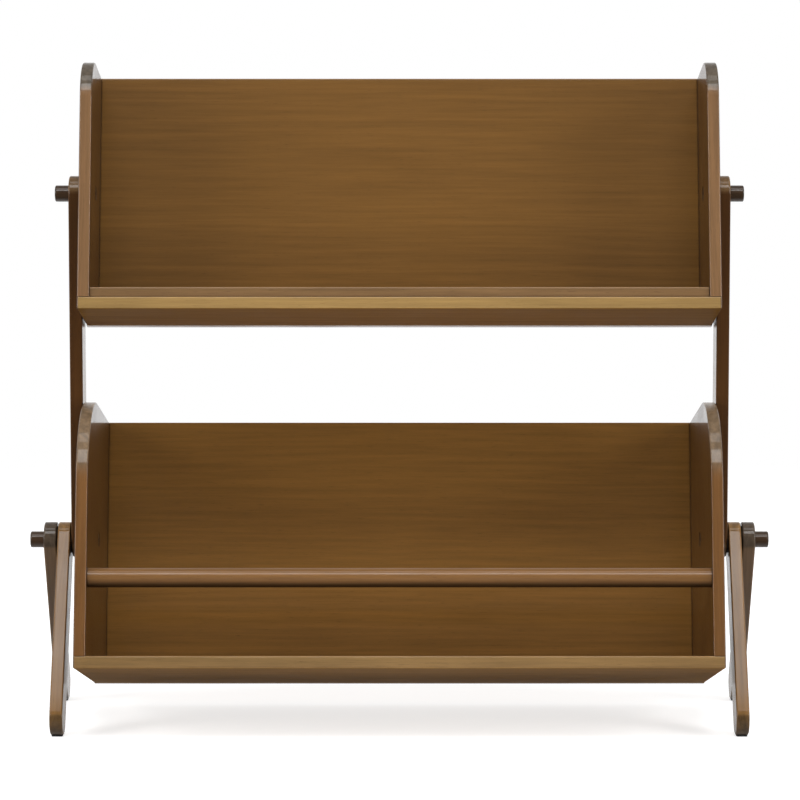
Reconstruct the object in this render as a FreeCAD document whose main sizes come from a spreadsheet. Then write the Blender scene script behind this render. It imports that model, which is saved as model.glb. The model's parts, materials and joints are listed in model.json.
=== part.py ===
import FreeCAD, Part
import math
import os
import Sketcher

# A photo album stand: two wooden trays that lean back, carried at each end by an upright and by
# two splayed legs. Everything at one end turns about round wooden pegs. The frame is +X right,
# +Y back, +Z up, with the origin on the floor under the middle of the object's box.

Vector = FreeCAD.Vector

doc = FreeCAD.newDocument("album_stand")
sheet = doc.addObject("Spreadsheet::Sheet", "Sizes")
nodes = []

LEFT = -1
RIGHT = 1
SIDES = [(LEFT, "left"), (RIGHT, "right")]
TOUCH = 1e-4  # two coordinates of a sketch closer than this are the same
EDGE_TOUCH = 1e-2  # and two coordinates of a finished edge, whose box is a little loose
HEX = 6  # sides of the key socket


class Size:
    """A length or an angle: its number now, and the sheet formula that gives it."""

    def __init__(self, value, formula):
        self.value = float(value)
        self.formula = formula

    def join(self, sign, other, result):
        """Return the new size that this one and another give."""
        right = other.formula if isinstance(other, Size) else str(other)
        return Size(result, f"({self.formula} {sign} {right})")

    def __add__(self, other):
        return self.join("+", other, self.value + number(other))

    def __sub__(self, other):
        return self.join("-", other, self.value - number(other))

    def __mul__(self, other):
        return self.join("*", other, self.value * number(other))

    def __truediv__(self, other):
        return self.join("/", other, self.value / number(other))

    def __neg__(self):
        return self * -1


def number(item):
    """Return the plain number of a size, or the number itself."""
    return item.value if isinstance(item, Size) else item


def sine(angle):
    """Return the sine of an angle in degrees."""
    return Size(math.sin(math.radians(angle.value)), f"sin({angle.formula})")


def cosine(angle):
    """Return the cosine of an angle in degrees."""
    return Size(math.cos(math.radians(angle.value)), f"cos({angle.formula})")


def driving(alias, value, meaning):
    """Write one driving dimension into the sheet and return it as a size."""
    driving.row += 1
    sheet.set(f"A{driving.row}", meaning)
    sheet.set(f"B{driving.row}", str(value))
    sheet.setAlias(f"B{driving.row}", alias)
    return Size(value, f"Sizes.{alias}")


driving.row = 0

# ---- Driving dimensions, in millimetres and degrees ----

board_thick = driving("board_thick", 12, "thickness of every tray board")
tray_width = driving("tray_width", 635, "outer width of both trays")
edge_round = driving("edge_round", 1.5, "eased edges of boards and members")

lower_depth = driving("lower_depth", 229, "lower tray, front edge to back board")
lower_height = driving("lower_height", 262, "lower tray, floor to top edge")
lower_corner = driving("lower_corner", 92, "radius of the lower sides' front top corner")
lower_tilt = driving("lower_tilt", 14, "how far the lower tray leans back")
lower_peg_back = driving("lower_peg_back", 128, "lower peg behind the tray's front edge")
lower_peg_up = driving("lower_peg_up", 127.5, "lower peg above the tray's floor")

upper_depth = driving("upper_depth", 104, "upper tray, front edge to back board")
upper_height = driving("upper_height", 245, "upper tray, floor to top edge")
upper_corner = driving("upper_corner", 42, "radius of the upper sides' front top corner")
upper_tilt = driving("upper_tilt", 13.5, "how far the upper tray leans back")
upper_peg_back = driving("upper_peg_back", 57.5, "upper peg behind the tray's front edge")
upper_peg_up = driving("upper_peg_up", 115, "upper peg above the tray's floor")

rail_dia = driving("rail_dia", 19, "round front rail")
rail_back = driving("rail_back", 13, "rail's axis behind the lower tray's front edge")
rail_up = driving("rail_up", 77.5, "rail's axis above the lower tray's floor")
rail_socket = driving("rail_socket", 6, "how far the rail goes into each side")

lip_height = driving("lip_height", 10, "front lip of the upper tray")
lip_thick = driving("lip_thick", 10, "front lip, front to back")
lip_setback = driving("lip_setback", 2.5, "lip behind the tray's front edge")

pivot_height = driving("pivot_height", 183, "lower peg above the floor")
pivot_spacing = driving("pivot_spacing", 351, "lower peg to upper peg")
leg_angle = driving("leg_angle", 30, "each leg from the vertical")
member_width = driving("member_width", 35.5, "width of legs and uprights")
member_thick = driving("member_thick", 13, "thickness of legs and uprights")

peg_dia = driving("peg_dia", 16.5, "round wooden pegs")
peg_proud = driving("peg_proud", 14.5, "peg beyond the outermost member")
peg_seat = driving("peg_seat", 6, "depth of the peg's seat in a tray side")
washer_dia = driving("washer_dia", 27, "outer diameter of the friction washers")
washer_thick = driving("washer_thick", 1.1, "thickness of the friction washers")

bolt_dia = driving("bolt_dia", 5, "clamp bolt")
bolt_length = driving("bolt_length", 14, "clamp bolt under its head")
bolt_head_dia = driving("bolt_head_dia", 14, "low head of the clamp bolt")
bolt_head_thick = driving("bolt_head_thick", 1.6, "thickness of the bolt head")
bolt_key_width = driving("bolt_key_width", 3, "key socket in the bolt head, across its corners")
bolt_key_deep = driving("bolt_key_deep", 2.4, "depth of the key socket")
bolt_recess = driving("bolt_recess", 2, "recess for the head in a tray side")
insert_dia = driving("insert_dia", 8, "threaded insert in a peg")
insert_length = driving("insert_length", 12, "length of the insert")

dowel_dia = driving("dowel_dia", 6, "hidden dowels in the tray joints")
dowel_in_face = driving("dowel_in_face", 8, "dowel in the board whose face it enters")
dowel_in_edge = driving("dowel_in_edge", 16, "dowel in the board whose edge it enters")
dowel_inset = driving("dowel_inset", 30, "outer dowels from a side's ends")
dowel_inset_wide = driving("dowel_inset_wide", 60, "outer dowels from a wide board's ends")

pad_thick = driving("pad_thick", 2, "foot pads")
pad_long = driving("pad_long", 13, "foot pads, front to back")
pad_wide = driving("pad_wide", 11, "foot pads, across the leg")
foot_flat = driving("foot_flat", 1.5, "what is planed off the rounded foot for the pad")

running_gap = driving("running_gap", 0.05, "peg in a bore that turns on it, radial")
glue_gap = driving("glue_gap", 0.05, "dowel, insert or rail in its hole, radial")
end_gap = driving("end_gap", 0.3, "free space past the end of a dowel, rail, lip or peg")
side_play = driving("side_play", 0.1, "free space beside a washer or bolt head")
bolt_gap = driving("bolt_gap", 0.4, "bolt and its head in their holes, radial")

# ---- Worked-out sizes that several pieces share ----

outer_x = tray_width / 2
inner_x = outer_x - board_thick
side_middle_x = outer_x - board_thick / 2
member_gap = washer_thick + side_play
upright_x = outer_x + member_gap
front_leg_x = upright_x + member_thick + member_gap
rear_leg_x = front_leg_x + member_thick + member_gap
lower_peg_end_x = rear_leg_x + member_thick + peg_proud
upper_peg_end_x = upright_x + member_thick + peg_proud
peg_start_x = outer_x - peg_seat + end_gap
bolt_under_head_x = inner_x + bolt_recess - side_play

member_radius = member_width / 2
peg_radius = peg_dia / 2
bore_radius = peg_radius + running_gap
dowel_hole_radius = dowel_dia / 2 + glue_gap

foot_center_z = pad_thick - foot_flat + member_radius
leg_drop = pivot_height - foot_center_z
leg_reach = leg_drop * sine(leg_angle) / cosine(leg_angle)

# The origin is under the middle of the box, whose front is the lower tray's front bottom corner
# and whose back is the top of its back board.
lower_front_reach = (lower_peg_back * cosine(lower_tilt)
                     + (lower_peg_up + board_thick) * sine(lower_tilt))
lower_back_reach = ((lower_depth + board_thick - lower_peg_back) * cosine(lower_tilt)
                    + (lower_height - lower_peg_up) * sine(lower_tilt))
pivot_y = (lower_front_reach - lower_back_reach) / 2
upper_pivot_z = pivot_height + pivot_spacing

# Every piece is drawn about its own peg, so the peg's axis is at zero in each sketch.
zero = Size(0, "0")
peg_axis = (zero, zero)


# ---- Helpers ----

def bind(item, path, size):
    """Tie one property of a document object to the sheet."""
    item.setExpression(path, size.formula)


def keep(item, name):
    """List an object as one piece of the stand, under the name that its file gets."""
    item.Label = name
    nodes.append(item)


def place(item, height, tilt=None):
    """Put a piece that is drawn about a peg axis at that peg, leaning back by tilt."""
    if tilt is not None:
        item.Placement = FreeCAD.Placement(Vector(0, 0, 0), FreeCAD.Rotation(Vector(1, 0, 0), -tilt.value))
        bind(item, "Placement.Rotation.Angle", -tilt)
    bind(item, "Placement.Base.y", pivot_y)
    bind(item, "Placement.Base.z", height)


def new_body(name):
    """Add an empty body, listed as a piece."""
    body = doc.addObject("PartDesign::Body", name)
    keep(body, name)
    return body


def new_sketch(body, name, role, offset):
    """Add a sketch on one of the body's own origin planes, moved along the plane's normal."""
    sketch = body.newObject("Sketcher::SketchObject", name)
    plane = [feature for feature in body.Origin.OriginFeatures if feature.Role == role]
    sketch.AttachmentSupport = [(plane[0], "")]
    sketch.MapMode = "FlatFace"
    bind(sketch, "AttachmentOffset.Base.z", offset)
    return sketch


def fix_distance(sketch, kind, position, size):
    """Hold one coordinate of a sketch point at a size from the origin."""
    geometry, point = position
    if abs(size.value) < TOUCH:
        axis = -2 if kind == "DistanceX" else -1
        sketch.addConstraint(Sketcher.Constraint("PointOnObject", geometry, point, axis))
        return
    index = sketch.addConstraint(Sketcher.Constraint(kind, -1, 1, geometry, point, size.value))
    tie_constraint(sketch, index, size)


def tie_constraint(sketch, index, size):
    """Name a constraint and tie its value to the sheet."""
    name = f"size_{index}"
    sketch.renameConstraint(index, name)
    sketch.setExpression(f"Constraints.{name}", size.formula)


def fix_point(sketch, position, across, up):
    """Hold both coordinates of a sketch point."""
    fix_distance(sketch, "DistanceX", position, across)
    fix_distance(sketch, "DistanceY", position, up)


def draw_rectangle(sketch, low, high):
    """Draw a rectangle from its low corner to its high corner."""
    corners = [(low[0], low[1]), (high[0], low[1]), (high[0], high[1]), (low[0], high[1])]
    points = [Vector(across.value, up.value, 0) for across, up in corners]
    for index in range(4):
        sketch.addGeometry(Part.LineSegment(points[index], points[(index + 1) % 4]))
    for index in range(4):
        sketch.addConstraint(Sketcher.Constraint("Coincident", index, 2, (index + 1) % 4, 1))
        kind = "Horizontal" if index % 2 == 0 else "Vertical"
        sketch.addConstraint(Sketcher.Constraint(kind, index))
    fix_point(sketch, (0, 1), *low)
    fix_point(sketch, (2, 1), *high)


def draw_circles(sketch, centers, radius):
    """Draw circles of one radius about the given centres."""
    for index, (across, up) in enumerate(centers):
        center = Vector(across.value, up.value, 0)
        sketch.addGeometry(Part.Circle(center, Vector(0, 0, 1), radius.value))
        fix_point(sketch, (index, 3), across, up)
        if index > 0:
            sketch.addConstraint(Sketcher.Constraint("Equal", 0, index))
    tie_constraint(sketch, sketch.addConstraint(Sketcher.Constraint("Radius", 0, radius.value)), radius)


def draw_link(sketch, far_across, far_up):
    """Draw a member's outline, round at both ends, from the origin to a far centre."""
    heading = math.atan2(far_up.value, far_across.value)
    far = Vector(far_across.value, far_up.value, 0)
    quarter = math.pi / 2
    near_circle = Part.Circle(Vector(0, 0, 0), Vector(0, 0, 1), member_radius.value)
    far_circle = Part.Circle(far, Vector(0, 0, 1), member_radius.value)
    near_arc = Part.ArcOfCircle(near_circle, heading + quarter, heading + 3 * quarter)
    far_arc = Part.ArcOfCircle(far_circle, heading - quarter, heading + quarter)
    sketch.addGeometry(near_arc)
    sketch.addGeometry(Part.LineSegment(near_arc.EndPoint, far_arc.StartPoint))
    sketch.addGeometry(far_arc)
    sketch.addGeometry(Part.LineSegment(far_arc.EndPoint, near_arc.StartPoint))
    for index in range(4):
        sketch.addConstraint(Sketcher.Constraint("Tangent", index, 2, (index + 1) % 4, 1))
    sketch.addConstraint(Sketcher.Constraint("Coincident", 0, 3, -1, 1))
    sketch.addConstraint(Sketcher.Constraint("Equal", 0, 2))
    radius_index = sketch.addConstraint(Sketcher.Constraint("Radius", 0, member_radius.value))
    tie_constraint(sketch, radius_index, member_radius)
    fix_point(sketch, (2, 3), far_across, far_up)


def pad(body, sketch, length, against_normal):
    """Extrude a sketch into the body's first solid."""
    feature = body.newObject("PartDesign::Pad", f"{sketch.Name}_pad")
    feature.Profile = sketch
    feature.Reversed = against_normal
    bind(feature, "Length", length)
    doc.recompute()
    return feature


def cut(body, sketch, depth, along_normal):
    """Cut a sketch into the body, and make sure that it takes something away."""
    before = body.Shape.Volume
    feature = body.newObject("PartDesign::Pocket", f"{sketch.Name}_cut")
    feature.Profile = sketch
    feature.Reversed = along_normal
    bind(feature, "Length", depth)
    doc.recompute()
    if body.Shape.Volume > before - TOUCH:
        raise ValueError(f"{feature.Name} cuts nothing")
    return feature


def drill(body, name, plane, centers, radius, depth, along_normal):
    """Cut round holes of one size: plane is the origin plane's role and its offset."""
    sketch = new_sketch(body, name, *plane)
    draw_circles(sketch, centers, radius)
    cut(body, sketch, depth, along_normal)


def round_edges(body, name, radius, wanted):
    """Fillet the edges of the body's tip that the test function wants."""
    base = body.Tip
    names = [f"Edge{index + 1}" for index, edge in enumerate(base.Shape.Edges)
             if wanted(edge.BoundBox)]
    feature = body.newObject("PartDesign::Fillet", name)
    feature.Base = (base, names)
    bind(feature, "Radius", radius)
    doc.recompute()


def same(first, second):
    """Tell whether two coordinates of edges are the same."""
    return abs(first - number(second)) < EDGE_TOUCH


def flat_in_x(box):
    """Tell whether an edge lies in a plane square to X."""
    return same(box.XMin, box.XMax)


def outward(side, near, far):
    """Return the low end in X of a span that runs outward, on either side of the stand."""
    return near if side == RIGHT else -far


def cylinder(name, side, near, far, radius):
    """Add a round bar along X that runs outward from near to far."""
    bar = doc.addObject("Part::Cylinder", name)
    bar.Placement = FreeCAD.Placement(Vector(0, 0, 0), FreeCAD.Rotation(Vector(0, 1, 0), 90))
    bind(bar, "Radius", radius)
    bind(bar, "Height", far - near)
    bind(bar, "Placement.Base.x", outward(side, near, far))
    return bar


def ring(name, side, near, far, outer_radius, hole_radius):
    """Add a round bar along X with a hole through it, listed as a piece."""
    part = doc.addObject("Part::Cut", name)
    part.Base = cylinder(f"{name}_disc", side, near, far, outer_radius)
    part.Tool = cylinder(f"{name}_hole", side, near, far, hole_radius)
    keep(part, name)
    return part


def spread(start, span, inset, count):
    """Return evenly spaced places, the first and last an inset from the span's ends."""
    room = span - inset * 2
    return [start + inset + room * (index / (count - 1)) for index in range(count)]


# ---- Trays ----

class Tray:
    """The planes and dowel places of one tray, drawn about its peg axis."""

    def __init__(self, name, depth, height, corner, tilt, peg_back, peg_up, pivot_z, dowel_rows):
        self.name = name
        self.depth = depth
        self.height = height
        self.corner = corner
        self.tilt = tilt
        self.pivot_z = pivot_z
        self.front = -peg_back
        self.back_face = self.front + depth
        self.rear = self.back_face + board_thick
        self.floor = -peg_up
        self.base = self.floor - board_thick
        self.top = self.floor + height
        floor_rows, back_rows, wide_rows = dowel_rows
        self.floor_dowels = spread(self.front, depth, dowel_inset, floor_rows)
        self.back_dowels = spread(self.floor, height, dowel_inset, back_rows)
        self.wide_dowels = spread(-outer_x, tray_width, dowel_inset_wide, wide_rows)

    def place(self, item):
        """Put a piece of this tray at its peg, leaning back."""
        place(item, self.pivot_z, self.tilt)


lower_tray = Tray("lower", lower_depth, lower_height, lower_corner, lower_tilt,
                  lower_peg_back, lower_peg_up, pivot_height, (3, 3, 4))
upper_tray = Tray("upper", upper_depth, upper_height, upper_corner, upper_tilt,
                  upper_peg_back, upper_peg_up, upper_pivot_z, (2, 3, 4))


def make_bottom_board(tray):
    """A full-width board under both sides, with its front edge in sight."""
    body = new_body(f"{tray.name}_bottom_board")
    outline = new_sketch(body, f"{body.Name}_outline", "XY_Plane", tray.base)
    draw_rectangle(outline, (-outer_x, tray.front), (outer_x, tray.back_face))
    pad(body, outline, board_thick, False)

    def eased(box):
        on_front = same(box.YMax, tray.front)
        low_end = flat_in_x(box) and same(box.ZMax, tray.base)
        return on_front or low_end

    round_edges(body, f"{body.Name}_eased", edge_round, eased)
    under_sides = [(side_middle_x * side, row) for side, _ in SIDES for row in tray.floor_dowels]
    drill(body, f"{body.Name}_side_holes", ("XY_Plane", tray.floor), under_sides,
          dowel_hole_radius, dowel_in_face + end_gap, False)
    middle_z = tray.floor - board_thick / 2
    behind = [(across, middle_z) for across in tray.wide_dowels]
    drill(body, f"{body.Name}_back_holes", ("XZ_Plane", -tray.back_face), behind,
          dowel_hole_radius, dowel_in_edge + end_gap, True)
    tray.place(body)


def make_back_board(tray):
    """A full-width board that covers the rear edges of the bottom board and the sides."""
    body = new_body(f"{tray.name}_back_board")
    outline = new_sketch(body, f"{body.Name}_outline", "XZ_Plane", -tray.back_face)
    draw_rectangle(outline, (-outer_x, tray.base), (outer_x, tray.top))
    pad(body, outline, board_thick, True)

    def eased(box):
        on_rear = same(box.YMin, tray.rear)
        front_top = same(box.ZMin, tray.top) and same(box.YMax, tray.back_face)
        return on_rear or front_top

    round_edges(body, f"{body.Name}_eased", edge_round, eased)
    middle_z = tray.floor - board_thick / 2
    centers = [(across, middle_z) for across in tray.wide_dowels]
    centers += [(side_middle_x * side, row) for side, _ in SIDES for row in tray.back_dowels]
    drill(body, f"{body.Name}_holes", ("XZ_Plane", -tray.back_face), centers,
          dowel_hole_radius, dowel_in_face + end_gap, False)
    tray.place(body)


def make_side(tray, side, word, with_rail_socket):
    """A side board with one rounded corner, the peg's stepped bore and blind dowel holes."""
    body = new_body(f"{tray.name}_side_{word}")
    outline = new_sketch(body, f"{body.Name}_outline", "YZ_Plane", inner_x * side)
    draw_rectangle(outline, (tray.front, tray.floor), (tray.back_face, tray.top))
    pad(body, outline, board_thick, side == LEFT)
    round_edges(body, f"{body.Name}_corner", tray.corner,
                lambda box: same(box.YMax, tray.front) and same(box.ZMin, tray.top))

    def eased(box):
        at_floor = same(box.ZMax, tray.floor)
        at_back = same(box.YMin, tray.back_face)
        return flat_in_x(box) and not at_floor and not at_back

    round_edges(body, f"{body.Name}_eased", edge_round, eased)
    outside = ("YZ_Plane", outer_x * side)
    inside = ("YZ_Plane", inner_x * side)
    drill(body, f"{body.Name}_peg_seat", outside, [peg_axis], bore_radius, peg_seat, side == LEFT)
    drill(body, f"{body.Name}_bolt_hole", outside, [peg_axis], bolt_dia / 2 + bolt_gap,
          board_thick, side == LEFT)
    drill(body, f"{body.Name}_head_recess", inside, [peg_axis], bolt_head_dia / 2 + bolt_gap,
          bolt_recess, side == RIGHT)
    middle_x = side_middle_x * side
    drill(body, f"{body.Name}_floor_holes", ("XY_Plane", tray.floor),
          [(middle_x, row) for row in tray.floor_dowels],
          dowel_hole_radius, dowel_in_edge + end_gap, True)
    drill(body, f"{body.Name}_back_holes", ("XZ_Plane", -tray.back_face),
          [(middle_x, row) for row in tray.back_dowels],
          dowel_hole_radius, dowel_in_edge + end_gap, True)
    if with_rail_socket:
        drill(body, f"{body.Name}_rail_socket", inside,
              [(tray.front + rail_back, tray.floor + rail_up)],
              rail_dia / 2 + glue_gap, rail_socket + end_gap, side == RIGHT)
    tray.place(body)


def dowel(name, across, back, up, upright):
    """Add one dowel that crosses a joint plane at the given place, up it or back through it."""
    bar = doc.addObject("Part::Cylinder", name)
    bind(bar, "Radius", dowel_dia / 2)
    bind(bar, "Height", dowel_in_face + dowel_in_edge)
    if not upright:
        bar.Placement = FreeCAD.Placement(Vector(0, 0, 0), FreeCAD.Rotation(Vector(1, 0, 0), -90))
    bind(bar, "Placement.Base.x", across)
    bind(bar, "Placement.Base.y", back)
    bind(bar, "Placement.Base.z", up)
    return bar


def make_tray_dowels(tray):
    """All the hidden dowels of one tray, as one group of separate solids."""
    name = f"{tray.name}_tray_dowels"
    start_low = tray.floor - dowel_in_face
    start_back = tray.back_face - dowel_in_edge
    middle_z = tray.floor - board_thick / 2
    dowels = []
    for side, word in SIDES:
        middle_x = side_middle_x * side
        for index, row in enumerate(tray.floor_dowels):
            dowels.append(dowel(f"{name}_floor_{word}_{index}", middle_x, row, start_low, True))
        for index, row in enumerate(tray.back_dowels):
            dowels.append(dowel(f"{name}_back_{word}_{index}", middle_x, start_back, row, False))
    for index, across in enumerate(tray.wide_dowels):
        dowels.append(dowel(f"{name}_wide_{index}", across, start_back, middle_z, False))
    group = doc.addObject("Part::Compound", name)
    group.Links = dowels
    keep(group, name)
    tray.place(group)


def make_front_rail():
    """The round rail across the lower tray's front, let into both sides."""
    body = new_body("lower_front_rail")
    rail_end = inner_x + rail_socket
    section = new_sketch(body, "lower_front_rail_section", "YZ_Plane", -rail_end)
    center = (lower_tray.front + rail_back, lower_tray.floor + rail_up)
    draw_circles(section, [center], rail_dia / 2)
    pad(body, section, rail_end * 2, False)
    lower_tray.place(body)


def make_front_lip():
    """The low strip glued on the upper tray's floor, between the sides."""
    body = new_body("upper_front_lip")
    lip_end = inner_x - end_gap
    lip_front = upper_tray.front + lip_setback
    lip_top = upper_tray.floor + lip_height
    section = new_sketch(body, "upper_front_lip_section", "YZ_Plane", -lip_end)
    draw_rectangle(section, (lip_front, upper_tray.floor), (lip_front + lip_thick, lip_top))
    pad(body, section, lip_end * 2, False)
    round_edges(body, "upper_front_lip_eased", edge_round,
                lambda box: same(box.ZMin, lip_top) and not flat_in_x(box))
    upper_tray.place(body)


# ---- Members and pivots ----

def make_upright(side, word):
    """The tall member from the lower peg to the upper peg."""
    body = new_body(f"upright_{word}")
    outline = new_sketch(body, f"{body.Name}_outline", "YZ_Plane", upright_x * side)
    draw_link(outline, zero, pivot_spacing)
    pad(body, outline, member_thick, side == LEFT)
    round_edges(body, f"{body.Name}_eased", edge_round, flat_in_x)
    plane = ("YZ_Plane", upright_x * side)
    drill(body, f"{body.Name}_lower_bore", plane, [peg_axis], bore_radius,
          member_thick, side == RIGHT)
    drill(body, f"{body.Name}_upper_bore", plane, [(zero, pivot_spacing)],
          peg_radius + glue_gap, member_thick, side == RIGHT)
    place(body, pivot_height)


def make_leg(name, side, start_x, reach, hole_radius):
    """A leg from the lower peg to its foot, planed flat underneath for its pad."""
    body = new_body(name)
    outline = new_sketch(body, f"{name}_outline", "YZ_Plane", start_x * side)
    draw_link(outline, reach, -leg_drop)
    pad(body, outline, member_thick, side == LEFT)
    round_edges(body, f"{name}_eased", edge_round, flat_in_x)
    drill(body, f"{name}_bore", ("YZ_Plane", start_x * side), [peg_axis], hole_radius,
          member_thick, side == RIGHT)
    planed = new_sketch(body, f"{name}_planed", "YZ_Plane", start_x * side)
    low = (reach - member_radius, -pivot_height - member_radius)
    high = (reach + member_radius, pad_thick - pivot_height)
    draw_rectangle(planed, low, high)
    cut(body, planed, member_thick, side == RIGHT)
    place(body, pivot_height)


def make_foot_pad(name, side, start_x, reach):
    """A thin pad under the foot, which is what rests on the floor."""
    block = doc.addObject("Part::Box", f"{name}_block")
    bind(block, "Length", pad_wide)
    bind(block, "Width", pad_long)
    bind(block, "Height", pad_thick)
    middle_x = (start_x + member_thick / 2) * side
    bind(block, "Placement.Base.x", middle_x - pad_wide / 2)
    bind(block, "Placement.Base.y", pivot_y + reach - pad_long / 2)
    doc.recompute()
    rounded = doc.addObject("Part::Fillet", name)
    rounded.Base = block
    radius = edge_round.value
    rounded.Edges = [(index + 1, radius, radius) for index, edge in enumerate(block.Shape.Edges)
                     if edge.BoundBox.ZLength > pad_thick.value / 2]
    keep(rounded, name)


def make_peg(name, side, end_x, height):
    """A round wooden peg with a rounded outer end and a blind hole for its insert."""
    body = new_body(name)
    section = new_sketch(body, f"{name}_section", "YZ_Plane", peg_start_x * side)
    draw_circles(section, [peg_axis], peg_radius)
    pad(body, section, end_x - peg_start_x, side == LEFT)
    round_edges(body, f"{name}_eased", edge_round,
                lambda box: flat_in_x(box) and same(box.XMax, end_x * side))
    drill(body, f"{name}_insert_hole", ("YZ_Plane", peg_start_x * side), [peg_axis],
          insert_dia / 2 + glue_gap, insert_length + end_gap, side == RIGHT)
    place(body, height)


def make_insert(name, side, height):
    """The threaded metal sleeve inside a peg."""
    sleeve = ring(name, side, peg_start_x, peg_start_x + insert_length,
                  insert_dia / 2, bolt_dia / 2 + glue_gap)
    place(sleeve, height)


def make_bolt(name, side, height):
    """The low-headed clamp bolt that is turned from inside the tray."""
    head_start = bolt_under_head_x - bolt_head_thick
    head = cylinder(f"{name}_head", side, head_start, bolt_under_head_x, bolt_head_dia / 2)
    shank = cylinder(f"{name}_shank", side, bolt_under_head_x, bolt_under_head_x + bolt_length,
                     bolt_dia / 2)
    blank = doc.addObject("Part::MultiFuse", f"{name}_blank")
    blank.Shapes = [head, shank]
    socket = doc.addObject("Part::Prism", f"{name}_socket")
    socket.Polygon = HEX
    socket.Placement = FreeCAD.Placement(Vector(0, 0, 0), FreeCAD.Rotation(Vector(0, 1, 0), 90))
    bind(socket, "Circumradius", bolt_key_width / 2)
    bind(socket, "Height", bolt_key_deep)
    bind(socket, "Placement.Base.x", outward(side, head_start, head_start + bolt_key_deep))
    bolt = doc.addObject("Part::Cut", name)
    bolt.Base = blank
    bolt.Tool = socket
    keep(bolt, name)
    place(bolt, height)


def make_washer(name, side, near, height):
    """A thin friction washer on the outer face of a board or member."""
    place(ring(name, side, near, near + washer_thick, washer_dia / 2, bore_radius + glue_gap), height)


def make_tray(tray):
    """The boards and dowels of one tray."""
    make_bottom_board(tray)
    make_back_board(tray)
    for side, word in SIDES:
        make_side(tray, side, word, tray is lower_tray)
    make_tray_dowels(tray)


make_tray(lower_tray)
make_front_rail()
make_tray(upper_tray)
make_front_lip()

for side, word in SIDES:
    make_washer(f"lower_tray_washer_{word}", side, outer_x, pivot_height)
    make_upright(side, word)
    make_washer(f"upright_washer_{word}", side, upright_x + member_thick, pivot_height)
    make_leg(f"front_leg_{word}", side, front_leg_x, -leg_reach, bore_radius)
    make_washer(f"front_leg_washer_{word}", side, front_leg_x + member_thick, pivot_height)
    make_leg(f"rear_leg_{word}", side, rear_leg_x, leg_reach, peg_radius + glue_gap)
    make_foot_pad(f"front_foot_pad_{word}", side, front_leg_x, -leg_reach)
    make_foot_pad(f"rear_foot_pad_{word}", side, rear_leg_x, leg_reach)
    make_peg(f"lower_peg_{word}", side, lower_peg_end_x, pivot_height)
    make_insert(f"lower_peg_insert_{word}", side, pivot_height)
    make_bolt(f"lower_clamp_bolt_{word}", side, pivot_height)
    make_washer(f"upper_tray_washer_{word}", side, outer_x, upper_pivot_z)
    make_peg(f"upper_peg_{word}", side, upper_peg_end_x, upper_pivot_z)
    make_insert(f"upper_peg_insert_{word}", side, upper_pivot_z)
    make_bolt(f"upper_clamp_bolt_{word}", side, upper_pivot_z)

doc.recompute()

# ---- Checks, then one file for each piece ----

for item in doc.Objects:
    if "Invalid" in item.State or "Error" in item.State:
        raise ValueError(f"{item.Label} failed: {item.State}")
for item in nodes:
    if item.Shape.isNull() or not item.Shape.isValid():
        raise ValueError(f"{item.Label} has no valid shape")

os.makedirs("parts", exist_ok=True)
for item in nodes:
    item.Shape.exportStep(f"parts/{item.Label}.step")

whole = Part.makeCompound([item.Shape for item in nodes]).BoundBox
print(f"{len(nodes)} pieces")
print(f"X {whole.XMin:.2f} {whole.XMax:.2f}")
print(f"Y {whole.YMin:.2f} {whole.YMax:.2f}")
print(f"Z {whole.ZMin:.2f} {whole.ZMax:.2f}")
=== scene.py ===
# %% [markdown]
# # A wooden album stand
# Two trays lean back on two uprights and four splayed legs, and all of it turns on round pegs. The
# model of the stand is already made to size, so this file only adds its looks: stained and lacquered
# wood, steel, brass, fibre and rubber, in a small white studio. Every material is worked out by nodes,
# with no pictures, because a worked-out grain runs through the whole board and meets itself on the
# edges and the ends, as real wood does.

# %% load the stand
import json
from math import radians

import bpy
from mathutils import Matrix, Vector

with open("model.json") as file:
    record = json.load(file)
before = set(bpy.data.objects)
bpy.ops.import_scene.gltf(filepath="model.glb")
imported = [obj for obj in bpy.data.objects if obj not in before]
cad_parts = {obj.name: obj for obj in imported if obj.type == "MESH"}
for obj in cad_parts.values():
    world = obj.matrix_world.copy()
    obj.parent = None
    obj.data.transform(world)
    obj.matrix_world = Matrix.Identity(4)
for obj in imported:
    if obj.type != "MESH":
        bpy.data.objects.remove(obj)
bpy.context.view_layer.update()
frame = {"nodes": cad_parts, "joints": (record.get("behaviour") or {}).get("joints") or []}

NODES = frame["nodes"]

# %% [markdown]
# ## Where things turn
# The joints of the stand say where its pegs are. Every board of a tray lies square to the tray's own
# frame, which leans back about the peg, and every leg is square to its own. The grain has to follow
# these frames and not the room's, so they are worked out first.

# %% pivots and leans
JOINT = {joint["name"]: Vector(joint["pos_m"]) for joint in frame["joints"]}
LOWER_PIVOT = Vector((0, *JOINT["upright_left_fold"].yz))
UPPER_PIVOT = Vector((0, *JOINT["upper_tray_tilt"].yz))
LOWER_LEAN = radians(14)
UPPER_LEAN = radians(13.5)
LEG_SPLAY = radians(30)
print("pivots at", tuple(LOWER_PIVOT), tuple(UPPER_PIVOT))

# %% [markdown]
# ## The camera
# A long lens from well in front of the stand, a little under its top and looking slightly down. From
# here the bottom of each tray shows as a thin dark band, and the inner faces of the sides as narrow
# strips.

# %% camera
CAMERA_BACK = 3.288
CAMERA_HIGH = 0.639
LOOKS_DOWN = radians(5.45)
LENS = 146.8
SENSOR = 36
SHIFT_RIGHT = 0.0007

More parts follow.
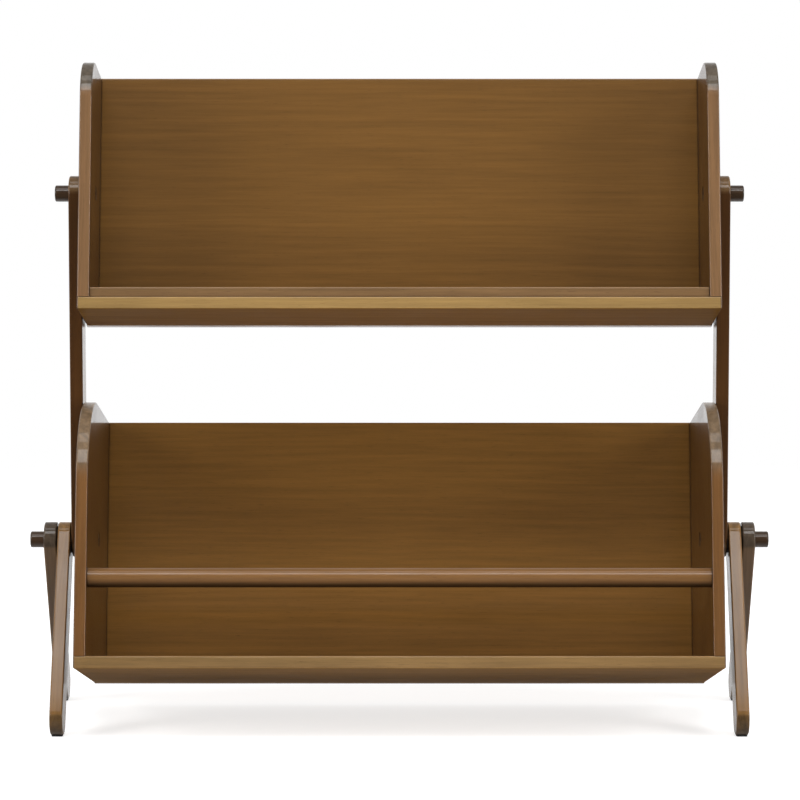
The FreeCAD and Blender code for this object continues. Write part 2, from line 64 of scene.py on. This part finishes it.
lens = bpy.data.cameras.new("camera")
lens.lens = LENS
lens.sensor_width = SENSOR
lens.shift_x = SHIFT_RIGHT
camera = bpy.data.objects.new("camera", lens)
camera.location = (0, LOWER_PIVOT.y - CAMERA_BACK, CAMERA_HIGH)
camera.rotation_euler = (radians(90) - LOOKS_DOWN, 0, 0)
bpy.context.scene.collection.objects.link(camera)
bpy.context.scene.camera = camera
bpy.context.scene.view_settings.view_transform = "Standard"
print("camera at", tuple(round(value, 3) for value in camera.location))

# %% [markdown]
# ## A short way to wire nodes
# Node trees are long to write out. `Wires` adds a node, sets or links its inputs by name, and hands
# back the output that matters, so that a material reads from top to bottom like a recipe.

# %% wiring helper
COLOUR_MIX = {"share": 0, "first": 6, "second": 7, "result": 2}
VECTOR_MIX = {"share": 0, "first": 4, "second": 5, "result": 1}


def connect(tree, socket, value):
    if isinstance(value, bpy.types.NodeSocket):
        tree.links.new(value, socket)
    elif hasattr(value, "__len__") and socket.type == "RGBA":
        socket.default_value = (*value[:3], 1)
    else:
        socket.default_value = value


class Wires:
    def __init__(self, tree):
        self.tree = tree

    def node(self, kind, inputs=(), **settings):
        made = self.tree.nodes.new(kind)
        for name, value in settings.items():
            setattr(made, name, value)
        for name, value in dict(inputs).items():
            connect(self.tree, made.inputs[name], value)
        return made

    def math(self, operation, *values, clamp=False):
        made = self.node("ShaderNodeMath", operation=operation, use_clamp=clamp)
        for socket, value in zip(made.inputs, values):
            connect(self.tree, socket, value)
        return made.outputs[0]

    def vector(self, operation, *values):
        made = self.node("ShaderNodeVectorMath", operation=operation)
        for socket, value in zip(made.inputs, values):
            connect(self.tree, socket, value)
        return made.outputs["Value" if operation == "LENGTH" else "Vector"]

    def scaled(self, vector, factor):
        made = self.vector("SCALE", vector)
        connect(self.tree, made.node.inputs["Scale"], factor)
        return made

    def noise(self, place, detail=2.0, rough=0.5, scale=1.0, output="Fac"):
        inputs = {"Vector": place, "Scale": scale, "Detail": detail, "Roughness": rough}
        return self.node("ShaderNodeTexNoise", inputs).outputs[output]

    def rise(self, value, low, high, out_low=0.0, out_high=1.0):
        made = self.node(
            "ShaderNodeMapRange",
            {"Value": value, "From Min": low, "From Max": high, "To Min": out_low, "To Max": out_high},
            interpolation_type="SMOOTHSTEP",
        )
        return made.outputs["Result"]

    def mix(self, made, sockets, share, first, second):
        for name, value in (("share", share), ("first", first), ("second", second)):
            connect(self.tree, made.inputs[sockets[name]], value)
        return made.outputs[sockets["result"]]

    def blend(self, share, first, second):
        made = self.node("ShaderNodeMix", data_type="RGBA")
        return self.mix(made, COLOUR_MIX, share, first, second)

    def choose(self, share, first, second):
        made = self.node("ShaderNodeMix", data_type="VECTOR")
        return self.mix(made, VECTOR_MIX, share, first, second)

    def split(self, vector):
        return self.node("ShaderNodeSeparateXYZ", {"Vector": vector}).outputs

    def join(self, across, deep, high):
        return self.node("ShaderNodeCombineXYZ", {"X": across, "Y": deep, "Z": high}).outputs[0]


print("wiring", [name for name in vars(Wires) if not name.startswith("_")])

# %% [markdown]
# Effects that several materials share are node groups. `start_group` makes an empty one with its inputs
# and outputs, and `finish_group` wires up the results.

# %% group helpers
SOCKETS = {"number": "NodeSocketFloat", "vector": "NodeSocketVector", "colour": "NodeSocketColor"}


def start_group(name, takes, gives):
    tree = bpy.data.node_groups.new(name, "ShaderNodeTree")
    for label, (kind, value) in takes.items():
        socket = tree.interface.new_socket(label, in_out="INPUT", socket_type=SOCKETS[kind])
        socket.default_value = (*value, 1) if kind == "colour" else value
    for label, kind in gives.items():
        tree.interface.new_socket(label, in_out="OUTPUT", socket_type=SOCKETS[kind])
    take = tree.nodes.new("NodeGroupInput").outputs
    give = tree.nodes.new("NodeGroupOutput").inputs
    return tree, take, give, Wires(tree)


def as_label(name):
    return name.replace("_", " ").capitalize()


def finish_group(tree, give, **results):
    for name, value in results.items():
        connect(tree, give[as_label(name)], value)
    print("node group", tree.name, "with", len(tree.nodes), "nodes")


def use_group(wires, group, **inputs):
    made = wires.node("ShaderNodeGroup", node_tree=group)
    for name, value in inputs.items():
        connect(wires.tree, made.inputs[as_label(name)], value)
    return made.outputs


print("sockets", sorted(SOCKETS))

# %% [markdown]
# ## A board's own frame
# A texture that is laid out in the room would run askew over a leaning board. This group turns a place
# and a direction into the board's own frame: first along the grain, then across the board's face, then
# through its thickness. `Grain up` is 0 for boards whose grain runs along the stand and 1 for sides,
# legs and uprights. `Lying` is 1 for boards that lie flat in their tray, whose broad face looks up.

# %% own frame group
OWN_FRAME, take, give, w = start_group(
    "own_frame",
    {"Place": ("vector", (0, 0, 0)), "Normal": ("vector", (0, 0, 1)), "Pivot": ("vector", (0, 0, 0)),
     "Lean": ("number", 0.0), "Grain up": ("number", 0.0), "Lying": ("number", 0.0)},
    {"Place": "vector", "Facing": "vector"},
)


def square_up(place):
    inputs = {"Vector": place, "Angle": take["Lean"]}
    turned = w.node("ShaderNodeVectorRotate", inputs, rotation_type="X_AXIS")
    across, deep, high = w.split(turned.outputs[0])[:]
    level = w.choose(take["Lying"], w.join(across, high, deep), w.join(across, deep, high))
    return w.choose(take["Grain up"], level, w.join(high, deep, across))


finish_group(OWN_FRAME, give,
             place=square_up(w.vector("SUBTRACT", take["Place"], take["Pivot"])),
             facing=square_up(take["Normal"]))

# %% [markdown]
# ## Grain
# A board is cut from a trunk, so its figure is a slice through rings. The group measures how far a
# place is from the heart of the trunk, and turns that into bands with a noise of one dimension. The
# heart wanders a little along the board, which bends the bands into long arches. Fibres and pores are
# noises that are stretched along the grain: on the ends of a board the same noises show as dots, which
# is what end grain is.

# %% grain group
CUT_SHIFT = (3.71, 1.37, 2.13)
STRETCH = {
    "wander": (1.6, 5, 5),
    "cloud": (2.2, 11, 11),
    "streak": (9, 260, 260),
    "fibre": (38, 1500, 1500),
    "pore": (95, 2300, 2300),
}
WANDER_REACH = (0, 0.05, 0.05)
HALF = (0.5, 0.5, 0.5)
RING_DETAIL, RING_ROUGH = 3.0, 0.55
PORE_FROM, PORE_TO = 0.66, 0.78
CLOUD_SHARE = 0.7
FIBRE_SHARE = 0.6
FIBRE_HEIGHT = 0.35

GRAIN, take, give, w = start_group(
    "grain",
    {"Place": ("vector", (0, 0, 0)), "Cut": ("number", 0.0), "Heart across": ("number", 0.25),
     "Heart deep": ("number", -0.12), "Ring width": ("number", 0.006), "Fibre": ("number", 0.5),
     "Bands": ("number", 0.5)},
    {"Tone": "number", "Pores": "number", "Height": "number"},
)
place = w.vector("ADD", take["Place"], w.scaled(CUT_SHIFT, take["Cut"]))


def stretched(figure, detail, output="Fac"):
    return w.noise(w.vector("MULTIPLY", place, STRETCH[figure]), detail=detail, output=output)


def about_middle(value, amount):
    return w.math("MULTIPLY", w.math("SUBTRACT", value, 0.5), amount)


wander = w.vector("SUBTRACT", stretched("wander", 2, "Color"), HALF)
bent = w.vector("ADD", take["Place"], w.vector("MULTIPLY", wander, WANDER_REACH))
heart = w.join(0, take["Heart across"], take["Heart deep"])
radius = w.vector("LENGTH", w.vector("MULTIPLY", w.vector("SUBTRACT", bent, heart), (0, 1, 1)))
rings_out = w.math("ADD", w.math("DIVIDE", radius, take["Ring width"]), take["Cut"])
ring_inputs = {"W": rings_out, "Scale": 1.0, "Detail": RING_DETAIL, "Roughness": RING_ROUGH}
ring = w.node("ShaderNodeTexNoise", ring_inputs, noise_dimensions="1D").outputs["Fac"]
cloud = stretched("cloud", 2)
streak = stretched("streak", 3)
fibre = stretched("fibre", 2)
pore = w.rise(stretched("pore", 1), PORE_FROM, PORE_TO)
tone = w.math("ADD", about_middle(ring, take["Bands"]), about_middle(streak, take["Fibre"]))
tone = w.math("ADD", tone, about_middle(cloud, w.math("MULTIPLY", take["Bands"], CLOUD_SHARE)))
tone = w.math("ADD", tone, about_middle(fibre, w.math("MULTIPLY", take["Fibre"], FIBRE_SHARE)))
finish_group(GRAIN, give,
             tone=w.math("ADD", tone, 0.5, clamp=True),
             pores=pore,
             height=w.math("SUBTRACT", w.math("MULTIPLY", fibre, FIBRE_HEIGHT), pore))

# %% [markdown]
# ## Faces, edges and ends
# The same stain takes differently on the three sides of a board, and all three are told apart by the
# direction that the surface faces in the board's own frame. The broad face is even, the narrow edge has
# its own tone, the end grain another, and the eased corners between them are lightened, partly as
# sanded-through wear and partly as a painted highlight along the rounded edge.
# `Foot` scales the colour of an end that looks down, a painted shade on the feet. `Below` scales the
# colour of a lying board's underside, lighter above 1 and darker below 1, a painted light and painted
# shade for the light that reaches it from below; that underside is also left more matt by `Matt below`.
# `Dark` says how deep the dark bands go, and the light ones rise as far above the board's own colour.

# %% stain group
END_FROM, END_TO = 0.03, 0.3
EDGE_FROM, EDGE_TO = 0.55, 0.9
EASED_FROM_EDGE, EASED_FROM_FACE = (0.15, 0.6), (0.98, 0.75)
BELOW_FROM, BELOW_TO = 0.3, 0.9
MATT_FROM, MATT_TO = 0.5, 0.9
TWICE = 2.0
END_CONTRAST = 0.5
PORE_SHARE, PORE_DARK = 0.55, 0.35
SANDED_WEAR_AND_HIGHLIGHT = 1.6

STAIN, take, give, w = start_group(
    "stain",
    {"Facing": ("vector", (0, 0, 1)), "Tone": ("number", 0.5), "Pores": ("number", 0.0),
     "Face": ("colour", (0.3, 0.2, 0.1)), "Edge": ("colour", (0.3, 0.2, 0.1)),
     "End": ("colour", (0.1, 0.06, 0.03)), "Dark": ("number", 0.55), "Wear": ("number", 0.2),
     "Matt below": ("number", 0.0), "Below": ("number", 1.0), "Foot": ("number", 1.0)},
    {"Colour": "colour", "End": "number", "Matt": "number"},
)
along, across, through = w.split(w.vector("ABSOLUTE", take["Facing"]))[:]
facing = w.split(take["Facing"])
footward = w.math("MULTIPLY", facing["X"], -1.0)
below = w.math("MULTIPLY", facing["Z"], -1.0)
matt = w.math("MULTIPLY", w.rise(below, MATT_FROM, MATT_TO), take["Matt below"])
end = w.rise(along, END_FROM, END_TO)
edge = w.rise(across, EDGE_FROM, EDGE_TO)
eased = w.math("MULTIPLY", w.rise(through, *EASED_FROM_EDGE), w.rise(through, *EASED_FROM_FACE))
print("stain masks wired:", len(STAIN.nodes), "nodes")

# %% stain colour
# Painted shade: an end that looks down is darkened by `Foot`.
foot = w.rise(footward, END_FROM, END_TO)
end_colour = w.blend(foot, take["End"], w.scaled(take["End"], take["Foot"]))
base = w.blend(end, w.blend(edge, take["Face"], take["Edge"]), end_colour)
# Painted light and shade: a face that looks down is scaled by `Below`, standing in for the light it gets
# from below.
base = w.blend(w.rise(below, BELOW_FROM, BELOW_TO), base, w.scaled(base, take["Below"]))
dark = w.math("MULTIPLY", take["Dark"], w.math("SUBTRACT", 1.0, w.math("MULTIPLY", end, END_CONTRAST)))
deep = w.scaled(base, dark)
light = w.scaled(base, w.math("SUBTRACT", TWICE, dark))
colour = w.blend(take["Tone"], deep, light)
colour = w.blend(w.math("MULTIPLY", take["Pores"], PORE_SHARE), colour, w.scaled(colour, PORE_DARK))
# Eased corners are lightened by `Wear`: partly sanded-through wear, partly a painted highlight.
colour = w.blend(w.math("MULTIPLY", eased, take["Wear"]), colour, w.scaled(colour, SANDED_WEAR_AND_HIGHLIGHT))
finish_group(STAIN, give, colour=colour, end=end, matt=matt)

# %% [markdown]
# ## Handling
# Nothing that is lacquered stays even. The film is a little thicker here and thinner there, and hands
# and dust dull it in soft patches. The group gives a slow mask for that, which the roughness and the
# coat both use, and the fine ripple that a brushed film dries with.

# %% handling group
PATCHES_PER_METRE = 14
PATCHES_ROUGH = 0.6
PATCHES_FROM, PATCHES_TO = 0.3, 0.7
RIPPLES_PER_METRE = 240
RIPPLE_STRETCH = (1, 1.6, 1.6)

HANDLING, take, give, w = start_group(
    "handling",
    {"Place": ("vector", (0, 0, 0)), "Cut": ("number", 0.0)},
    {"Patches": "number", "Ripple": "number"},
)
place = w.vector("ADD", take["Place"], w.scaled(CUT_SHIFT, take["Cut"]))
patches = w.noise(place, detail=4, rough=PATCHES_ROUGH, scale=PATCHES_PER_METRE)
ripple = w.noise(w.vector("MULTIPLY", place, RIPPLE_STRETCH), detail=1, scale=RIPPLES_PER_METRE)
finish_group(HANDLING, give, patches=w.rise(patches, PATCHES_FROM, PATCHES_TO), ripple=ripple)

# %% [markdown]
# ## Lacquered wood
# One function makes the finish of every wooden piece from a few words: how the piece stands, how its
# grain runs, and its three tones. Each piece gets its own cut of the trunk, so no two boards repeat.
# Where two boards meet in a corner, a painted shade darkens the colour, as deep as the corner is tight.

# %% wood finish
CORNER_SHADE_REACH = 0.003
CORNER_SHADE_RAYS = 8
CORNER_SHADE_FROM, CORNER_SHADE_TO, CORNER_SHADE_DARK = 0.45, 0.85, 0.25
MATT_UNDERSIDE = 0.95
ROUGH = 0.36
ROUGHER = {"Patches": 0.08, "Pores": 0.15, "End": 0.12, "Matt": 0.6}
FILM_THINS = 0.2
COAT_ROUGH = 0.08
SPECULAR = 0.15
RIPPLE_HEIGHT = 0.25
BUMP, BUMP_DISTANCE = 0.25, 0.0003


def new_material(name):
    made = bpy.data.materials.new(name)
    made.use_nodes = True
    tree = made.node_tree
    return made, tree, tree.nodes["Principled BSDF"], Wires(tree)


# Painted shade: ambient occlusion over a few millimetres darkens the colour in tight corners.
def corner_shade_mask(w):
    inputs = {"Distance": CORNER_SHADE_REACH}
    corner = w.node("ShaderNodeAmbientOcclusion", inputs, samples=CORNER_SHADE_RAYS).outputs["AO"]
    return w.rise(corner, CORNER_SHADE_FROM, CORNER_SHADE_TO, CORNER_SHADE_DARK, 1.0)


def lacquered_wood(name, pivot, lean, way, cut, face, edge, end, bands=0.5, fibre=0.5, dark=0.6,
                   wear=0.2, coat=0.75, foot=1.0, below=1.0):
    material, tree, shader, w = new_material(name)
    place = w.node("ShaderNodeTexCoord").outputs
    own = use_group(w, OWN_FRAME, place=place["Object"], normal=place["Normal"], pivot=pivot, lean=lean,
                    grain_up=float(way == "up"), lying=float(way == "lying"))
    grain = use_group(w, GRAIN, place=own["Place"], cut=cut, bands=bands, fibre=fibre)
    stain = use_group(w, STAIN, facing=own["Facing"], tone=grain["Tone"], pores=grain["Pores"],
                      face=face, edge=edge, end=end, dark=dark, wear=wear, foot=foot, below=below,
                      matt_below=MATT_UNDERSIDE * (way == "lying"))
    film = use_group(w, HANDLING, place=own["Place"], cut=cut)
    # The stain colour is multiplied by the painted corner shade.
    connect(tree, shader.inputs["Base Color"], w.scaled(stain["Colour"], corner_shade_mask(w)))
    rough = w.math("ADD", w.math("MULTIPLY", film["Patches"], ROUGHER["Patches"]), ROUGH)
    rough = w.math("ADD", rough, w.math("MULTIPLY", grain["Pores"], ROUGHER["Pores"]))
    rough = w.math("ADD", rough, w.math("MULTIPLY", stain["End"], ROUGHER["End"]))
    rough = w.math("ADD", rough, w.math("MULTIPLY", stain["Matt"], ROUGHER["Matt"]), clamp=True)
    connect(tree, shader.inputs["Roughness"], rough)
    film_depth = w.math("SUBTRACT", coat, w.math("MULTIPLY", film["Patches"], FILM_THINS))
    gloss = w.math("MULTIPLY", film_depth, w.math("SUBTRACT", 1.0, stain["Matt"]))
    connect(tree, shader.inputs["Coat Weight"], gloss)
    shader.inputs["Coat Roughness"].default_value = COAT_ROUGH
    shader.inputs["Specular IOR Level"].default_value = SPECULAR
    height = w.math("ADD", grain["Height"], w.math("MULTIPLY", film["Ripple"], RIPPLE_HEIGHT))
    bump = w.node("ShaderNodeBump", {"Height": height, "Strength": BUMP, "Distance": BUMP_DISTANCE})
    connect(tree, shader.inputs["Normal"], bump.outputs[0])
    return material


print("seams reach", CORNER_SHADE_REACH, "m into a corner")

# %% [markdown]
# ## The tones
# All pieces are stained from one pot, but they were cut from different boards and rubbed down
# differently. The inner faces of the tray sides took the most stain, and the legs, the rail and the
# front edges the least. The numbers are linear red, green and blue.

# %% tones
UPPER_BACK = {"face": (0.178, 0.083, 0.0165), "edge": (0.24, 0.11, 0.025), "end": (0.14, 0.07, 0.025)}
LOWER_BACK = {"face": (0.245, 0.115, 0.0235), "edge": (0.24, 0.11, 0.025), "end": (0.14, 0.07, 0.025)}
UPPER_BOTTOM = {"face": (0.17, 0.080, 0.015), "edge": (0.35, 0.215, 0.075), "end": (0.14, 0.07, 0.025)}
# The lower bottom board's face tone is set lighter in part to lift its underside, a painted light.
LOWER_BOTTOM = {"face": (0.26, 0.132, 0.038), "edge": (0.28, 0.165, 0.062), "end": (0.14, 0.07, 0.025)}
LIP = {"face": (0.24, 0.135, 0.055), "edge": (0.20, 0.112, 0.047), "end": (0.12, 0.06, 0.02)}
UPPER_SIDE = {"face": (0.075, 0.028, 0.0045), "edge": (0.235, 0.125, 0.055), "end": (0.11, 0.085, 0.06)}
LOWER_SIDE = {"face": (0.075, 0.028, 0.0045), "edge": (0.195, 0.088, 0.027), "end": (0.19, 0.125, 0.07)}
UPRIGHT = {"face": (0.15, 0.062, 0.012), "edge": (0.086, 0.033, 0.0065), "end": (0.20, 0.11, 0.042)}
FRONT_LEG = {"face": (0.16, 0.085, 0.030), "edge": (0.27, 0.135, 0.038), "end": (0.31, 0.17, 0.060)}
REAR_LEG = {"face": (0.16, 0.085, 0.030), "edge": (0.205, 0.115, 0.050), "end": (0.10, 0.07, 0.045)}
RAIL = {"face": (0.22, 0.105, 0.034), "edge": (0.22, 0.105, 0.034), "end": (0.08, 0.045, 0.022)}
PEG = {"face": (0.065, 0.035, 0.017), "edge": (0.065, 0.035, 0.017), "end": (0.05, 0.03, 0.018)}
BEECH = {"face": (0.62, 0.45, 0.28), "edge": (0.62, 0.45, 0.28), "end": (0.5, 0.35, 0.2)}
print("backs", UPPER_BACK["face"], LOWER_BACK["face"])

# %% [markdown]
# ## The wooden pieces
# One table says which frame a piece is square to, and the other how its grain runs and how strong its
# figure is. The back boards are the calmest, and the members show a little more figure, because they
# are cut from narrower stock. The rail counts as lying, so its underside is matt, and its `below`
# darkens it as a painted shade.

# %% finish the wood
FRAMES = {
    "lower": (LOWER_PIVOT, LOWER_LEAN),
    "upper": (UPPER_PIVOT, UPPER_LEAN),
    "upright": (LOWER_PIVOT, 0.0),
    "front_leg": (LOWER_PIVOT, LEG_SPLAY),
    "rear_leg": (LOWER_PIVOT, -LEG_SPLAY),
}
WOOD = {
    "upper_back_board": ("level", UPPER_BACK, {"bands": 0.45, "fibre": 0.8, "dark": 0.7}),
    "lower_back_board": ("level", LOWER_BACK, {"bands": 0.45, "fibre": 0.8, "dark": 0.7}),
    # `below` over 1 lightens a board's underside as a painted light from below; the rail's 0.25 darkens
    # its underside as a painted shade.
    "upper_bottom_board": ("lying", UPPER_BOTTOM, {"bands": 0.6, "fibre": 0.7, "below": 2.0}),
    "lower_bottom_board": ("lying", LOWER_BOTTOM, {"bands": 0.6, "fibre": 0.7, "below": 2.4}),
    # The lip's higher `wear` lightens its eased top edge, partly as wear and partly as a painted
    # highlight.
    "front_lip": ("lying", LIP, {"bands": 0.6, "fibre": 0.7, "wear": 0.5}),
    "front_rail": ("lying", RAIL, {"bands": 0.6, "fibre": 0.6, "wear": 0.0, "below": 0.25}),
    "peg": ("level", PEG, {"bands": 0.6, "fibre": 0.6, "wear": 0.0}),
    "upper_side": ("up", UPPER_SIDE, {"bands": 0.7, "fibre": 0.8, "coat": 0.7}),
    "lower_side": ("up", LOWER_SIDE, {"bands": 0.7, "fibre": 0.8, "coat": 0.7}),
    "upright": ("up", UPRIGHT, {"bands": 0.6, "fibre": 0.7}),
    # `foot` darkens the front legs' downward ends, a painted shade.
    "front_leg": ("up", FRONT_LEG, {"bands": 0.6, "fibre": 0.7, "foot": 0.45}),
    "rear_leg": ("up", REAR_LEG, {"bands": 0.6, "fibre": 0.7}),
}
NOT_STAINED = ("dowels", "washer", "insert", "bolt", "pad")


def frame_of(node):
    return next(value for key, value in FRAMES.items() if node.startswith(key))


def wood_of(node):
    return next(value for key, value in WOOD.items() if key in node)


def put_on(node, material):
    for slot in NODES[node].material_slots:
        slot.material = material


wooden = [node for node in sorted(NODES) if not any(word in node for word in NOT_STAINED)]
for cut, node in enumerate(wooden, start=1):
    pivot, lean = frame_of(node)
    way, tones, figure = wood_of(node)
    put_on(node, lacquered_wood("wood_" + node, pivot, lean, way, float(cut), **tones, **figure))
print("wooden pieces", len(wooden))

# %% [markdown]
# ## Rubber, fibre, steel, brass and beech
# The small pieces hardly show, but each has its own surface: the pads are speckled rubber, the washers
# pressed fibre, the bolts blackened steel, the inserts brass and the dowels plain beech. A fine speckle
# varies the colour, and a coarser one the roughness.

# %% small finishes
SPECK_ROUGH = 0.6
SPECK_FROM, SPECK_TO = 0.35, 0.65
DULL_FROM, DULL_TO = 0.25, 0.75
ROUGH_SPREAD = 0.08
PATCH_PER_SPECK = 0.12
SPECK_BUMP_DISTANCE = 0.0002
FIRST_DOWEL_CUT = 40


def speckled(name, light, dark, size, rough, metal=0.0, bump=0.15):
    material, tree, shader, w = new_material(name)
    place = w.node("ShaderNodeTexCoord").outputs["Object"]
    speck = w.noise(place, detail=3, rough=SPECK_ROUGH, scale=1 / size)
    patch = w.noise(place, detail=2, scale=PATCH_PER_SPECK / size)
    connect(tree, shader.inputs["Base Color"], w.blend(w.rise(speck, SPECK_FROM, SPECK_TO), dark, light))
    dullness = w.rise(patch, DULL_FROM, DULL_TO, rough - ROUGH_SPREAD, rough + ROUGH_SPREAD)
    connect(tree, shader.inputs["Roughness"], dullness)
    shader.inputs["Metallic"].default_value = metal
    inputs = {"Height": speck, "Strength": bump, "Distance": SPECK_BUMP_DISTANCE}
    connect(tree, shader.inputs["Normal"], w.node("ShaderNodeBump", inputs).outputs[0])
    return material


SMALL = {
    "pad": speckled("rubber", (0.030, 0.029, 0.028), (0.014, 0.013, 0.013), size=0.0006, rough=0.75),
    "washer": speckled("fibre", (0.045, 0.032, 0.024), (0.018, 0.013, 0.010), size=0.0009, rough=0.85),
    "bolt": speckled("steel", (0.075, 0.068, 0.06), (0.04, 0.036, 0.032), size=0.0012, rough=0.5,
                     metal=1.0, bump=0.05),
    "insert": speckled("brass", (0.78, 0.56, 0.24), (0.62, 0.42, 0.16), size=0.0015, rough=0.3,
                       metal=1.0, bump=0.05),
}
for node in sorted(NODES):
    for word, material in SMALL.items():
        if word in node:
            put_on(node, material)
for cut, node in enumerate(("lower_tray_dowels", "upper_tray_dowels"), start=FIRST_DOWEL_CUT):
    pivot, lean = frame_of(node)
    put_on(node, lacquered_wood("beech_" + node, pivot, lean, "level", float(cut), **BEECH, wear=0.0))
print("small finishes", sorted(SMALL))

# %% [markdown]
# ## The floor
# A plain pale disc that fades out into the surround. The camera sees it almost white. It gives back
# little soft light, as if the stand stood on a table well above it, so the bottoms of the trays stay
# deep brown. The lacquer mirrors it dark in front of the stand and bright behind it.

# %% floor
FLOOR_REACH = 2.6
FLOOR_SIDES = 96
FLOOR_FADE = (1.1, 2.4)
FLOOR_SINK = 0.0005
SEEN_GREY, SEEN_GLOW = 0.95, 0.7
SOFT_LIGHT_GREY = 0.20
MIRRORED_FRONT, MIRRORED_REAR, REAR_GLOW = 0.12, 0.90, 0.4
REARWARD = (-0.3, 0.1)


def grey(value):
    return (value, value, value)


bpy.ops.mesh.primitive_circle_add(vertices=FLOOR_SIDES, radius=FLOOR_REACH, fill_type="NGON",
                                  location=(0, 0, -FLOOR_SINK))
floor = bpy.context.object
floor.name = "floor"
material, tree, shader, w = new_material("floor")
tree.nodes.remove(shader)
ray = w.node("ShaderNodeLightPath").outputs
place = w.node("ShaderNodeTexCoord").outputs["Object"]
rearward = w.rise(w.split(place)["Y"], *REARWARD)
mirrored = w.blend(rearward, grey(MIRRORED_FRONT), grey(MIRRORED_REAR))
unseen = w.blend(ray["Is Diffuse Ray"], mirrored, grey(SOFT_LIGHT_GREY))
tone = w.blend(ray["Is Camera Ray"], unseen, grey(SEEN_GREY))
paint = w.node("ShaderNodeBsdfDiffuse", {"Color": tone})
seen_glow = w.math("MULTIPLY", ray["Is Camera Ray"], SEEN_GLOW)
mirrored_glow = w.math("MULTIPLY", ray["Is Glossy Ray"], w.math("MULTIPLY", rearward, REAR_GLOW))
all_glow = w.math("ADD", seen_glow, mirrored_glow)
glow = w.node("ShaderNodeEmission", {"Color": grey(1.0), "Strength": all_glow})
lit = w.node("ShaderNodeAddShader")
connect(tree, lit.inputs[0], paint.outputs[0])
connect(tree, lit.inputs[1], glow.outputs[0])
faded = w.node("ShaderNodeMixShader", {"Fac": w.rise(w.vector("LENGTH", place), *FLOOR_FADE)})
connect(tree, faded.inputs[1], lit.outputs[0])
connect(tree, faded.inputs[2], w.node("ShaderNodeBsdfTransparent").outputs[0])
connect(tree, tree.nodes["Material Output"].inputs["Surface"], faded.outputs[0])
floor.data.materials.append(material)
print("floor reach", FLOOR_REACH)

# %% [markdown]
# ## The surround
# To the camera the surround is white. As a light it is brightest straight behind the stand, which draws
# light along the edges, even at the sides, and nearly dark in front, so that no grey veil lies on the
# lacquer.

# %% surround
BACKDROP, ROUND_ABOUT, FRONT, GROUND = 1.15, 0.45, 0.10, 0.04
FRONT_TO_SIDES = (-0.25, 0.45)
SIDES_TO_BACKDROP = (0.75, 0.95)
GROUND_TO_SKY = (-0.30, -0.16)

world = bpy.data.worlds.new("surround")
world.use_nodes = True
bpy.context.scene.world = world
w = Wires(world.node_tree)
_, behind, above = w.split(w.node("ShaderNodeTexCoord").outputs["Generated"])[:]
level = w.rise(behind, *FRONT_TO_SIDES, FRONT, ROUND_ABOUT)
level = w.math("ADD", level, w.rise(behind, *SIDES_TO_BACKDROP, 0.0, BACKDROP - ROUND_ABOUT))
level = w.math("MULTIPLY", level, w.rise(above, *GROUND_TO_SKY, GROUND, 1.0))
seen = w.node("ShaderNodeLightPath").outputs["Is Camera Ray"]
level = w.math("ADD", w.math("MULTIPLY", level, w.math("SUBTRACT", 1.0, seen)), seen)
background = world.node_tree.nodes["Background"]
connect(world.node_tree, background.inputs["Strength"], level)
background.inputs["Color"].default_value = (*grey(1), 1)
print("surround", BACKDROP, "behind,", FRONT, "in front")

# %% [markdown]
# ## Lights
# Two tall soft boxes stand wide on the left and right, so the tray sides shade the ends of the back
# boards. A broad one hangs high in front, and a weak one overhead draws light along the rail and the
# top edges. A small card near the floor throws a little light up under the trays.

# %% lights
MIDDLE = (0, 0, 0.33)
LOWER_TRAY = (0, 0, 0.25)
BOXES = {
    "front_left": {"location": (-3.1, -1.6, 1.4), "aim": MIDDLE, "size": (1.5, 1.9), "power": 56},
    "front_right": {"location": (3.1, -1.6, 1.4), "aim": MIDDLE, "size": (1.5, 1.9), "power": 56},
    "high_front": {"location": (0, -1.9, 2.9), "aim": MIDDLE, "size": (2.6, 1.0), "power": 42},
    "overhead": {"location": (0, -0.4, 2.6), "aim": MIDDLE, "size": (1.8, 0.6), "power": 8},
    "floor_bounce": {"location": (0, -0.9, 0.03), "aim": LOWER_TRAY, "size": (0.6, 0.3), "power": 0.65},
}
BOUNCE_SPREAD = radians(60)


def soft_box(name, location, aim, size, power):
    light = bpy.data.lights.new(name, "AREA")
    light.shape = "RECTANGLE"
    light.size, light.size_y = size
    light.energy = power
    box = bpy.data.objects.new(name, light)
    box.location = location
    box.rotation_euler = (Vector(aim) - Vector(location)).to_track_quat("-Z", "Y").to_euler()
    bpy.context.scene.collection.objects.link(box)
    return box


LIGHTS = {name: soft_box(name, **setting) for name, setting in BOXES.items()}
bounce = LIGHTS["floor_bounce"]
bounce.data.spread = BOUNCE_SPREAD
bounce.visible_glossy = False
bounce.visible_camera = False
print("lights", sorted(LIGHTS))
